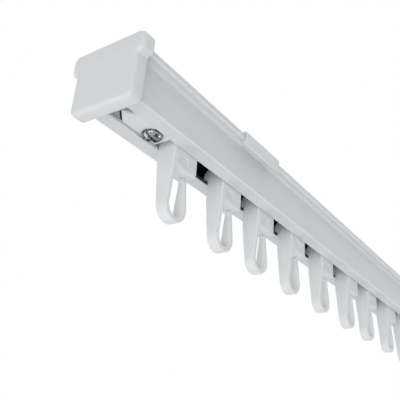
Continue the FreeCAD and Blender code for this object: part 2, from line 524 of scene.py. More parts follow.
def rounded(corners: Sequence[Corner], inset: float = 0.0, steps: int = 5) -> list[Point]:
    """Points round an anticlockwise outline with rounded corners.

    Args:
        corners: Corners of the outline.
        inset: Distance that the outline is moved inwards.
        steps: Steps in each rounded corner.

    Returns:
        The points, always steps + 1 for each corner.
    """
    points: list[Point] = []
    count = len(corners)
    for index, corner in enumerate(corners):
        here = Vector((corner.y, corner.z))
        before = corners[index - 1]
        after = corners[(index + 1) % count]
        edge_in = here - Vector((before.y, before.z))
        edge_out = Vector((after.y, after.z)) - here
        into = edge_in.normalized()
        away = edge_out.normalized()
        normal_into = Vector((-into.y, into.x))
        normal_away = Vector((-away.y, away.x))
        tip = here + (normal_into + normal_away) * (inset / (1.0 + normal_into.dot(normal_away)))
        turn = math.atan2(into.x * away.y - into.y * away.x, into.dot(away))
        side = 1.0 if turn > 0 else -1.0
        radius = max(corner.radius - side * inset, 0.02 * MM)
        if side < 0:
            shorter = min(edge_in.length, edge_out.length)
            radius = min(radius, max(corner.radius, 0.9 * shorter))
        start = tip - into * (radius * math.tan(abs(turn) / 2.0))
        centre = start + normal_into * (side * radius)
        arm = start - centre
        for step in range(steps + 1):
            angle = turn * step / steps
            cosine = math.cos(angle)
            sine = math.sin(angle)
            across = centre.x + arm.x * cosine - arm.y * sine
            height = centre.y + arm.x * sine + arm.y * cosine
            points.append((across, height))
    return points


def quarter_round(steps: int) -> list[Point]:
    """Steps round an edge of radius 1: how far the outline is drawn in, and how far along it stands.

    Args:
        steps: Steps in the quarter circle.

    Returns:
        Pairs from (1, 0) to (0, 1).
    """
    angles = [math.pi / 2 * step / steps for step in range(steps + 1)]
    return [(1.0 - math.sin(angle), 1.0 - math.cos(angle)) for angle in angles]


def at_x(points: Sequence[Point], x: float) -> Loop:
    """The outline's points in the plane at x."""
    return [Vector((x, y, z)) for y, z in points]


class Shell:
    """A mesh that is put together from closed shells."""

    def __init__(self) -> None:
        """Starts with no faces."""
        self.mesh = bmesh.new()

    def skin(self, loops: Sequence[Loop]) -> None:
        """Adds a closed shell through loops of equal length, with both ends filled.

        Args:
            loops: Loops from one end to the other.
        """
        rings = [[self.mesh.verts.new(point) for point in loop] for loop in loops]
        count = len(rings[0])
        for first, second in zip(rings, rings[1:]):
            for index in range(count):
                following = (index + 1) % count
                self.mesh.faces.new((first[index], first[following], second[following], second[index]))
        self.mesh.faces.new(list(reversed(rings[0])))
        self.mesh.faces.new(rings[-1])

    def bar(self, corners: Sequence[Corner], x0: float, x1: float, ease: float, steps: int = 3) -> None:
        """Adds a bar along X with eased end edges.

        Args:
            corners: The bar's section.
            x0: Lower end.
            x1: Upper end.
            ease: Radius of the end edges.
            steps: Steps in that radius.
        """
        loops: list[Loop] = []
        for inset, along in quarter_round(steps):
            loops.append(at_x(rounded(corners, ease * inset), x0 + ease * along))
        mirrored = [[Vector((x0 + x1 - p.x, p.y, p.z)) for p in loop] for loop in reversed(loops)]
        self.skin(loops + mirrored)

    def finish(self, name: str) -> bpy.types.Mesh:
        """Merges doubles, turns every face outwards and frees the builder.

        Args:
            name: Name of the mesh.

        Returns:
            The finished mesh.
        """
        bmesh.ops.remove_doubles(self.mesh, verts=self.mesh.verts, dist=0.002 * MM)
        bmesh.ops.dissolve_degenerate(self.mesh, edges=self.mesh.edges, dist=0.001 * MM)
        bmesh.ops.recalc_face_normals(self.mesh, faces=self.mesh.faces)
        made = bpy.data.meshes.new(name)
        self.mesh.to_mesh(made)
        self.mesh.free()
        return made


def show(name: str, mesh: bpy.types.Mesh) -> bpy.types.Object:
    """Puts a mesh into the scene as an object at the origin.

    Args:
        name: Name of the object.
        mesh: The mesh, in place.

    Returns:
        The object.
    """
    piece = bpy.data.objects.new(name, mesh)
    bpy.context.scene.collection.objects.link(piece)
    return piece


def evaluated_mesh(piece: bpy.types.Object, name: str) -> bpy.types.Mesh:
    """Turns an object with modifiers into a plain mesh and removes the object.

    Args:
        piece: The object with its modifiers.
        name: Name of the mesh.

    Returns:
        The mesh with the modifiers applied.
    """
    graph = bpy.context.evaluated_depsgraph_get()
    made = bpy.data.meshes.new_from_object(piece.evaluated_get(graph))
    made.name = name
    piece.modifiers.clear()
    bpy.data.objects.remove(piece)
    return made


def combined(mesh: bpy.types.Mesh, other: bpy.types.Mesh, operation: str) -> bpy.types.Mesh:
    """Combines two closed meshes.

    Args:
        mesh: The mesh that is changed.
        other: The mesh that is added to it or taken away.
        operation: Blender's name of the Boolean operation.

    Returns:
        The combined mesh.
    """
    piece = show("to_combine", mesh)
    tool = show("tool", other)
    change = piece.modifiers.new("change", "BOOLEAN")
    change.operation = operation
    change.solver = "EXACT"
    change.object = tool
    made = evaluated_mesh(piece, mesh.name)
    bpy.data.objects.remove(tool)
    return made


def carved(mesh: bpy.types.Mesh, cutter: bpy.types.Mesh) -> bpy.types.Mesh:
    """The mesh after the cutter has been taken away from it."""
    return combined(mesh, cutter, "DIFFERENCE")


def joined(meshes: Sequence[bpy.types.Mesh], name: str) -> bpy.types.Mesh:
    """Puts several meshes into one.

    Args:
        meshes: The meshes.
        name: Name of the new mesh.

    Returns:
        The mesh that holds them all.
    """
    builder = bmesh.new()
    for mesh in meshes:
        builder.from_mesh(mesh)
    whole = bpy.data.meshes.new(name)
    builder.to_mesh(whole)
    builder.free()
    return whole


def ring(x: float, radius: float, z: float, segments: int = 48) -> Loop:
    """A level circle round the upright axis at x, for turned shapes.

    Args:
        x: Place of the axis along the rail.
        radius: Radius of the circle.
        z: Its height.
        segments: Points on it.

    Returns:
        The circle's points.
    """
    angles = [2 * math.pi * index / segments for index in range(segments)]
    return [Vector((x + radius * math.cos(a), radius * math.sin(a), z)) for a in angles]


def smooth(mesh: bpy.types.Mesh, sharp_above: float = 40.0) -> bpy.types.Mesh:
    """Shades a mesh smooth, apart from its sharp edges.

    Args:
        mesh: The mesh.
        sharp_above: Degrees from which an edge stays sharp.

    Returns:
        The same mesh.
    """
    mesh.shade_smooth()
    mesh.set_sharp_from_angle(angle=math.radians(sharp_above))
    return mesh


class NodeRecipe:
    """A Geometry Nodes tree with named inputs, run on a mesh to give a plain mesh."""

    def __init__(self, name: str, sizes: Sequence[str]) -> None:
        """Makes the tree's sockets.

        Args:
            name: Name of the tree.
            sizes: Names of its number inputs.
        """
        self.tree = bpy.data.node_groups.new(name, "GeometryNodeTree")
        face = self.tree.interface
        face.new_socket("Geometry", in_out="INPUT", socket_type="NodeSocketGeometry")
        self.identifiers: dict[str, str] = {}
        for size in sizes:
            made = face.new_socket(size, in_out="INPUT", socket_type="NodeSocketFloat")
            self.identifiers[size] = made.identifier
        material = face.new_socket("Material", in_out="INPUT", socket_type="NodeSocketMaterial")
        self.identifiers["Material"] = material.identifier
        face.new_socket("Geometry", in_out="OUTPUT", socket_type="NodeSocketGeometry")
        self.graph = Graph(self.tree)
        self.entry = self.tree.nodes.new("NodeGroupInput")

    def given(self, name: str) -> Sock:
        """The tree's own input of that name."""
        return Sock(self.graph, self.entry.outputs[name])

    def close(self, geometry: Sock) -> None:
        """Ends the tree in Realize Instances and Set Material.

        Args:
            geometry: What the tree has made.
        """
        real = self.graph.add("GeometryNodeRealizeInstances", {}, {0: geometry})
        material = self.given("Material")
        dressed = self.graph.add("GeometryNodeSetMaterial", {}, {"Geometry": real, "Material": material})
        self.graph.add("NodeGroupOutput", {}, {0: dressed})

    def run(
        self, name: str, mesh: bpy.types.Mesh, material: bpy.types.Material, **sizes: float
    ) -> bpy.types.Mesh:
        """Runs the tree.

        Args:
            name: Name of the new mesh.
            mesh: The mesh that goes in.
            material: The material that the result gets.
            sizes: Values of the number inputs.

        Returns:
            The plain mesh that comes out.
        """
        piece = show(name + "_source", mesh)
        modifier = piece.modifiers.new("recipe", "NODES")
        modifier.node_group = self.tree
        for size, value in sizes.items():
            modifier[self.identifiers[size]] = value
        modifier[self.identifiers["Material"]] = material
        return evaluated_mesh(piece, name)


def draw_recipe() -> NodeRecipe:
    """Draws a section face out along X, as an extrusion press does.

    Returns:
        The recipe.
    """
    recipe = NodeRecipe("drawn_section", ["Length"])
    section = recipe.given("Geometry")
    travel = recipe.graph.add("ShaderNodeCombineXYZ", {}, {"X": recipe.given("Length")})
    drawn = recipe.graph.add(
        "GeometryNodeExtrudeMesh",
        {"mode": "FACES"},
        {"Mesh": section, "Offset": travel, "Offset Scale": 1.0, "Individual": False},
    )
    start = recipe.graph.add("GeometryNodeFlipFaces", {}, {"Mesh": section})
    join = recipe.tree.nodes.new("GeometryNodeJoinGeometry")
    for part in (drawn, start):
        recipe.tree.links.new(part.socket, join.inputs[0])
    whole = Sock(recipe.graph, join.outputs[0])
    merged = recipe.graph.add("GeometryNodeMergeByDistance", {}, {"Geometry": whole, "Distance": 0.001 * MM})
    recipe.close(merged)
    return recipe


def place_recipe() -> NodeRecipe:
    """Moves a glider from the origin to its station on the rail.

    Returns:
        The recipe.
    """
    recipe = NodeRecipe("glider_station", ["Station"])
    shift = recipe.graph.add("ShaderNodeCombineXYZ", {}, {"X": recipe.given("Station")})
    moved = recipe.graph.add(
        "GeometryNodeTransform", {}, {"Geometry": recipe.given("Geometry"), "Translation": shift}
    )
    recipe.close(moved)
    return recipe


def pair_recipe() -> NodeRecipe:
    """Puts one copy of a small piece at each end of the rail.

    Returns:
        The recipe.
    """
    recipe = NodeRecipe("pair_on_rail", ["Half Span"])
    half = recipe.given("Half Span")
    first = recipe.graph.add("ShaderNodeCombineXYZ", {}, {"X": half * -1.0})
    step = recipe.graph.add("ShaderNodeCombineXYZ", {}, {"X": half * 2.0})
    points = recipe.graph.add(
        "GeometryNodeMeshLine", {"mode": "OFFSET"}, {"Count": 2, "Start Location": first, "Offset": step}
    )
    copies = recipe.graph.add(
        "GeometryNodeInstanceOnPoints", {}, {"Points": points, "Instance": recipe.given("Geometry")}
    )
    recipe.close(copies)
    return recipe


def fasten(piece: bpy.types.Object, body: str, node: str) -> None:
    """Lets a piece ride on a body in place of a CAD node.

    Args:
        piece: The piece, in place.
        body: Name of the body.
        node: Name of the CAD node.
    """
    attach(piece, body)
    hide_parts(node)
    LOG.info("%s: %d faces on body %s", piece.name, len(piece.data.polygons), body)


def facing(mesh: bpy.types.Mesh, end: End) -> bpy.types.Mesh:
    """Turns a mesh made for the near end half a turn about Z where it goes to the far end.

    Args:
        mesh: The mesh, as it stands at the near end.
        end: The end that it goes to.

    Returns:
        The same mesh.
    """
    if end is End.FAR:
        mesh.transform(Matrix.Rotation(math.pi, 4, "Z"))
    return mesh


def mount(
    name: str, mesh: bpy.types.Mesh, material: bpy.types.Material, node: str
) -> bpy.types.Object:
    """Dresses a finished mesh and fastens it to the track in place of a CAD node.

    Args:
        name: Name of the piece.
        mesh: Its mesh, in place.
        material: Its material.
        node: Name of the CAD node.

    Returns:
        The piece.
    """
    mesh.materials.clear()
    mesh.materials.append(material)
    piece = show(name, smooth(mesh))
    fasten(piece, TRACK_BODY, node)
    return piece


@dataclass
class Rail:
    """The drawn rail: a channel under a wide flange, with a slot between two lips."""

    body_width: float = 15.0 * MM
    flange_width: float = 20.0 * MM
    flange_thickness: float = 2.0 * MM
    wall: float = 1.3 * MM
    web: float = 1.6 * MM
    lip: float = 1.3 * MM
    slot: float = 6.0 * MM
    root_radius: float = 1.0 * MM
    edge_radius: float = 0.5 * MM
    groove_width: float = 0.8 * MM
    groove_depth: float = 0.3 * MM
    finish: CoatedChannel = RAIL_COAT

    def __post_init__(self) -> None:
        """Reads the rail's place from the frame."""
        low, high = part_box("rail")
        self.start = low.x
        self.end = high.x
        self.bottom = low.z
        self.top = high.z
        self.lip_top = self.bottom + self.lip

    def outside(self, grow: float, edge: float, root: float) -> list[Corner]:
        """The rail's outer outline without its channel.

        Args:
            grow: Distance that it is moved outwards.
            edge: Radius of the outer edges.
            root: Radius under the flange.

        Returns:
            The outline's corners.
        """
        under = self.top - self.flange_thickness - grow
        return both_sides([
            Corner(self.body_width / 2 + grow, self.bottom - grow, edge),
            Corner(self.body_width / 2 + grow, under, root),
            Corner(self.flange_width / 2 + grow, under, edge),
            Corner(self.flange_width / 2 + grow, self.top + grow, edge),
        ])

    def section(self) -> list[Corner]:
        """The whole section, round the lips and the channel and over the flange.

        Returns:
            The section's corners.
        """
        inner = self.body_width / 2 - self.wall
        ceiling = self.top - self.web
        soft = 0.2 * MM
        under = self.top - self.flange_thickness
        return both_sides([
            Corner(inner, ceiling, 0.5 * MM),
            Corner(inner, self.lip_top, 0.3 * MM),
            Corner(self.slot / 2, self.lip_top, soft),
            Corner(self.slot / 2, self.bottom, soft),
            Corner(self.body_width / 2, self.bottom, self.edge_radius),
            Corner(self.body_width / 2, under, self.root_radius),
            Corner(self.flange_width / 2, under, self.edge_radius),
            Corner(self.flange_width / 2, self.top, self.edge_radius),
            Corner(self.groove_width / 2, self.top, 0.08 * MM),
            Corner(self.groove_width / 2, self.top - self.groove_depth, 0.08 * MM),
        ])

    def build(self) -> bpy.types.Object:
        """Draws the section along the rail.

        Returns:
            The rail.
        """
        builder = bmesh.new()
        corners = [builder.verts.new(point) for point in at_x(rounded(self.section(), 0.0, 6), self.start)]
        builder.faces.new(corners)
        builder.normal_update()
        if builder.faces[:][0].normal.x < 0:
            bmesh.ops.reverse_faces(builder, faces=builder.faces)
        section = bpy.data.meshes.new("rail_section")
        builder.to_mesh(section)
        builder.free()
        # The coat's zones: painted near-black shade in the hollow and on the slot's walls, and painted
        # highlights on the outer edges.
        coat = replace(
            self.finish,
            half_width=(self.body_width - self.wall) / 2,
            low=self.bottom + 0.8 * self.lip,
            high=self.top - self.web / 2,
            throat_half_length=-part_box("glider_01")[1].x,
            throat_half_width=self.slot / 2 + 0.1 * MM,
            throat_low=self.bottom + 0.2 * self.lip,
            # Outer edges that get the painted highlight bands.
            edges=(
                (self.body_width / 2, self.bottom),
                (self.flange_width / 2, self.top - self.flange_thickness),
            ),
        )
        drawn = draw_recipe().run("rail_drawn", section, coat.make(), Length=self.end - self.start)
        piece = show("rail_drawn", smooth(drawn))
        fasten(piece, TRACK_BODY, "rail")
        return piece


@dataclass
class EndCap:
    """A moulded T-shaped cap that slips over the rail's end, with a plug in the channel."""

    rail: Rail
    end: End
    stop: "EndStop"
    material: bpy.types.Material
    body_width: float = 19.6 * MM
    ear_drop: float = 3.4 * MM
    wall: float = 1.6 * MM
    depth: float = 3.8 * MM
    clearance: float = 0.05 * MM
    front_radius: float = 1.1 * MM
    rim_radius: float = 0.2 * MM
    corner_radius: float = 2.0 * MM
    top_corner_radius: float = 2.2 * MM
    ear_radius: float = 1.2 * MM
    ear_root_radius: float = 0.5 * MM
    plug_length: float = 6.2 * MM
    plug_clearance: float = 0.15 * MM
    tongue_clearance: float = 0.02 * MM
    tongue_recess: float = 0.8 * MM
    nose_gap: float = 0.4 * MM
    finish: CapPlastic = CAP_PLASTIC

    @classmethod
    def plastic(cls, rail: Rail) -> bpy.types.Material:
        """The material of both caps, with painted shade where the rail's slot is.

        Args:
            rail: The rail that the caps close.

        Returns:
            The material.
        """
        low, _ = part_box("end_cap_near")
        # Painted shade over the parts of the cap that stand in the rail's slot.
        slot_shaded_finish = replace(
            cls.finish,
            slot_shade_half_length=-low.x - cls.depth - 0.1 * MM,
            slot_shade_half_width=rail.slot / 2,
            slot_shade_low=rail.bottom + 0.2 * MM,
        )
        return slot_shaded_finish.make()

    def outline(self) -> list[Corner]:
        """The cap's outer outline.

        Returns:
            The outline's corners.
        """
        low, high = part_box("end_cap_near")
        ear_bottom = self.rail.top - self.ear_drop
        return both_sides([
            Corner(self.body_width / 2, low.z, self.corner_radius),
            Corner(self.body_width / 2, ear_bottom, self.ear_root_radius),
            Corner(high.y, ear_bottom, self.ear_radius),
            Corner(high.y, high.z, self.top_corner_radius),
        ])

    def build(self) -> bpy.types.Object:
        """Builds the cap as one skin from its front over its rim into its pocket, its plug and its tongue.

        Returns:
            The cap.
        """
        low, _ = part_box("end_cap_near")
        outline = self.outline()
        front = low.x
        rim = front + self.depth
        fine = 8
        loops: list[Loop] = []
        for inset, along in quarter_round(7):
            points = rounded(outline, self.front_radius * inset, fine)
            loops.append(at_x(points, front + self.front_radius * along))
        for short, inset in quarter_round(3):
            points = rounded(outline, self.rim_radius * inset, fine)
            loops.append(at_x(points, rim - self.rim_radius * short))
        pocket = self.rail.outside(self.clearance, 0.3 * MM, self.rail.root_radius - self.clearance)
        loops.append(at_x(rounded(pocket, 0.0, fine), rim))
        loops.append(at_x(rounded(pocket, 0.0, fine), front + self.wall))
        shell = Shell()
        shell.skin(loops)
        self.plug(shell, front + self.wall)
        body = shell.finish("cap_" + self.end.word)
        mesh = facing(joined([body, self.tongue(front + self.wall)], body.name), self.end)
        return mount(body.name, mesh, self.material, "end_cap_" + self.end.word)

    def plug(self, shell: Shell, x: float) -> None:
        """Adds the plug that fills the channel.

        Args:
            shell: The cap's mesh.
            x: Inner side of the cap's end wall.
        """
        inner = self.rail.body_width / 2 - self.rail.wall - self.plug_clearance
        shelf = self.rail.lip_top + self.plug_clearance
        section = both_sides([
            Corner(inner, shelf, 0.3 * MM),
            Corner(inner, self.rail.top - self.rail.web - self.plug_clearance, 0.5 * MM),
        ])
        shell.bar(section, x - 0.2 * MM, x + self.plug_length, 0.3 * MM)

    def tongue(self, x: float) -> bpy.types.Mesh:
        """The tongue in the slot, hollowed at its end for the stop's nose.

        Args:
            x: Inner side of the cap's end wall.

        Returns:
            The tongue.
        """
        stop_low, stop_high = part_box("end_stop_near")
        half = self.rail.slot / 2 - self.tongue_clearance
        low = self.rail.bottom + self.tongue_recess
        high = self.rail.lip_top + self.plug_clearance + 0.2 * MM
        section = both_sides([Corner(half, low, 0.2 * MM), Corner(half, high, 0.1 * MM)])
        bar = Shell()
        shoulder = stop_low.x - self.stop.nose_lead + self.stop.nose_length
        bar.bar(section, x - 0.2 * MM, shoulder, 0.1 * MM)
        nose = rounded(self.stop.plan(stop_low, stop_high, 0.0, 0.0), -self.nose_gap)
        room = Shell()
        room.skin([[Vector((along, across, z)) for along, across in nose] for z in (low - MM, high + MM)])
        return carved(bar.finish("tongue"), room.finish("nose_room"))


@dataclass
class EndStop:
    """A moulded block with a pointed nose that is clamped in the slot and stops the gliders."""

    rail: Rail
    end: End
    material: bpy.types.Material
    head_radius: float = 4.4 * MM
    neck_clearance: float = 0.04 * MM
    ease: float = 0.2 * MM
    nose_lead: float = 1.0 * MM
    nose_length: float = 3.8 * MM
    nose_ramp: float = 2.4 * MM
    nose_rise: float = 0.7 * MM
    shoulder_radius: float = 1.0 * MM
    tip_radius: float = 0.7 * MM
    finish: Finish = STOP_PLASTIC

    def plan(self, low: Vector, high: Vector, trim: float, nose_trim: float) -> list[Corner]:
        """The neck's outline seen from below, as corners whose y is X and whose z is Y.

        Args:
            low: Lowest corner of the stop's box.
            high: Highest corner of the stop's box.
            trim: Distance that its sides and its tail are drawn in.
            nose_trim: Distance that the tip of its nose is drawn back.

        Returns:
            The outline's corners.
        """
        half = self.rail.slot / 2 - self.neck_clearance - trim
        tip = low.x - self.nose_lead
        shoulder = tip + self.nose_length
        tail = high.x - trim
        return [
            Corner(tail, -half, 0.2 * MM),
            Corner(tail, half, 0.2 * MM),
            Corner(shoulder, half, self.shoulder_radius),
            Corner(tip + nose_trim, 0.0, self.tip_radius),
            Corner(shoulder, -half, self.shoulder_radius),
        ]

    def neck(self, low: Vector, high: Vector) -> list[Loop]:
        """Level loops round the neck with its pointed nose, from the underside up.

        Args:
            low: Lowest corner of the stop's box.
            high: Highest corner of the stop's box.

        Returns:
            The loops.
        """
        loops: list[Loop] = []
        for inset, rise in quarter_round(6):
            outline = self.plan(low, high, self.ease * inset, self.nose_ramp * inset)
            level = low.z + self.nose_rise * rise
            loops.append([Vector((x, y, level)) for x, y in rounded(outline)])
        roof = self.rail.lip_top + 0.1 * MM
        loops.append([Vector((point.x, point.y, roof)) for point in loops[-1]])
        return loops

    def build(self) -> bpy.types.Object:
        """Builds the block.

        Returns:
            The block.
        """
        low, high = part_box("end_stop_near")
        half = self.rail.slot / 2 - self.neck_clearance
        section = both_sides([
            Corner(self.head_radius, self.rail.lip_top, 0.5 * MM),
            Corner(self.head_radius, high.z, self.head_radius - 0.6 * MM),
        ])
        shell = Shell()
        shell.bar(section, low.x + half, high.x, self.ease)
        shell.skin(self.neck(low, high))
        mesh = facing(shell.finish("stop_" + self.end.word), self.end)
        return mount(mesh.name, mesh, self.material, "end_stop_" + self.end.word)


@dataclass
class ClampScrews:
    """Pan-head screws with a cross recess, one in each end stop."""

    head_diameter: float = 5.6 * MM
    head_height: float = 2.4 * MM
    shank_diameter: float = 3.0 * MM
    recess_span: float = 3.1 * MM
    recess_width: float = 0.85 * MM
    recess_depth: float = 1.6 * MM
    crown_flat: float = 0.4 * MM
    rim: float = 0.3 * MM
    finish: Finish = SCREW_PLATE

    def turned(self, low: float, high: float) -> bpy.types.Mesh:
        """The screw on the Z axis without its recess.

        Args:
            low: Lowest height, at the head's crown.
            high: Highest height, at the shank's tip.

        Returns:
            The turned mesh.
        """
        seat = low + self.head_height
        edge = self.head_diameter / 2
        dome = self.head_height - self.crown_flat - self.rim
        top = low + self.crown_flat
        loops = []
        for step in range(16):
            angle = math.pi / 2 * (step + 0.2) / 15.2
            loops.append(ring(0.0, edge * math.sin(angle), top + dome * (1.0 - math.cos(angle))))
        loops.append(ring(0.0, edge, seat))
        shank = self.shank_diameter / 2
        loops.append(ring(0.0, shank, seat))
        loops.append(ring(0.0, shank, high - 0.4 * MM))
        loops.append(ring(0.0, shank - 0.4 * MM, high))
        shell = Shell()
        shell.skin(loops)
        return shell.finish("clamp_screw")

    def recess(self, low: float) -> bpy.types.Mesh:
        """A cross of two tapered blades on the Z axis, turned by 45 degrees.

        Args:
            low: Height of the head's crown.

        Returns:
            The cutter.
        """
        cross: list[Point] = []
        half = self.recess_span / 2
        thin = self.recess_width / 2
        for quarter in range(4):
            turn = Matrix.Rotation(math.pi / 2 * quarter + math.pi / 4, 2)
            for corner in ((half, -thin), (half, thin), (thin, thin)):
                spot = turn @ Vector(corner)
                cross.append((spot.x, spot.y))
        shell = Shell()
        mouth = [Vector((x * 1.06, y * 1.06, low - 0.3 * MM)) for x, y in cross]
        floor = [Vector((x * 0.55, y * 0.55, low + self.recess_depth)) for x, y in cross]
        shell.skin([mouth, floor])
        return shell.finish("cross_recess")

    def build(self) -> bpy.types.Object:
        """Turns one screw, cuts its recess and puts one at each end.

        Returns:
            Both screws as one piece.
        """
        low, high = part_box("end_stop_screws")
        single = carved(self.turned(low.z, high.z), self.recess(low.z))
        half_span = (high.x - low.x) / 2 - self.head_diameter / 2
        pair = pair_recipe().run("clamp_screws", single, self.finish.make(), **{"Half Span": half_span})
        piece = show("clamp_screws", smooth(pair, 30.0))
        fasten(piece, TRACK_BODY, "end_stop_screws")
        return piece


@dataclass
class CeilingClip:
    """A bent sheet clip that is screwed to the ceiling and snaps over the rail's flange."""

    rail: Rail
    end: End
    material: bpy.types.Material
    sheet: float = 0.7 * MM
    side_clearance: float = 0.1 * MM
    hook_land: float = 0.7 * MM
    hook_clearance: float = 0.05 * MM
    hook_lip: float = 0.6 * MM
    bend_radius: float = 0.8 * MM
    boss_diameter: float = 14.0 * MM
    boss_taper: float = 1.2 * MM
    hole_diameter: float = 4.5 * MM
    ease: float = 0.12 * MM
    finish: Finish = CLIP_COAT

    def section(self, bottom: float) -> list[Corner]:
        """The bent sheet's section.

        Args:
            bottom: Height of the foot of its sides.

        Returns:
            The section's corners.
        """
        inner = self.rail.flange_width / 2 + self.side_clearance
        outer = inner + self.sheet
        hook_top = self.rail.top - self.rail.flange_thickness - self.hook_clearance
        land_end = inner - self.hook_land
        return both_sides([
            Corner(inner, self.rail.top, 0.1 * MM),
            Corner(inner, hook_top, 0.1 * MM),
            Corner(land_end, hook_top, 0.1 * MM),
            Corner(land_end, hook_top - self.hook_lip, 0.15 * MM),
            Corner(inner, bottom, 0.15 * MM),
            Corner(outer, bottom, 0.45 * MM),
            Corner(outer, self.rail.top + self.sheet, self.bend_radius),
        ])

    def boss(self, x: float, top: float) -> bpy.types.Mesh:
        """The raised boss that lies against the ceiling.

        Args:
            x: Place of its axis.
            top: Height of the ceiling.

        Returns:
            The boss without its hollow.
        """
        foot = self.boss_diameter / 2
        crown = foot - self.boss_taper
        plate = self.rail.top + self.sheet
        soft = 0.3 * MM
        shell = Shell()
        shell.skin([
            ring(x, foot + soft, plate - self.sheet / 2),
            ring(x, foot + soft, plate),
            ring(x, foot, plate + soft),
            ring(x, crown, top - soft),
            ring(x, crown - soft, top),
        ])
        return shell.finish("boss")

    def hollow(self, x: float, top: float) -> bpy.types.Mesh:
        """Cutter for the hollow under the boss, where the screw's head goes, and for the screw's hole.

        Args:
            x: Place of its axis.
            top: Height of the ceiling.

        Returns:
            The cutter.
        """
        foot = self.boss_diameter / 2 - self.sheet
        crown = foot - self.boss_taper
        hole = self.hole_diameter / 2
        roof = top - self.sheet
        spare = 0.2 * MM
        shell = Shell()
        shell.skin([
            ring(x, foot, self.rail.top - spare),
            ring(x, foot, self.rail.top),
            ring(x, crown, roof),
            ring(x, hole, roof),
            ring(x, hole, top + spare),
        ])
        return shell.finish("hollow")

    def build(self) -> bpy.types.Object:
        """Bends the sheet, raises its boss and pierces it.

        Returns:
            The clip.
        """
        low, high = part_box("ceiling_clip_near")
        middle = (low.x + high.x) / 2
        shell = Shell()
        shell.bar(self.section(low.z), low.x, high.x, self.ease, 2)
        bent = shell.finish("clip_" + self.end.word)
        raised = combined(bent, self.boss(middle, high.z), "UNION")
        mesh = facing(carved(raised, self.hollow(middle, high.z)), self.end)
        name = "clip_" + self.end.word
        return mount(name, mesh, self.material, "ceiling_clip_" + self.end.word)


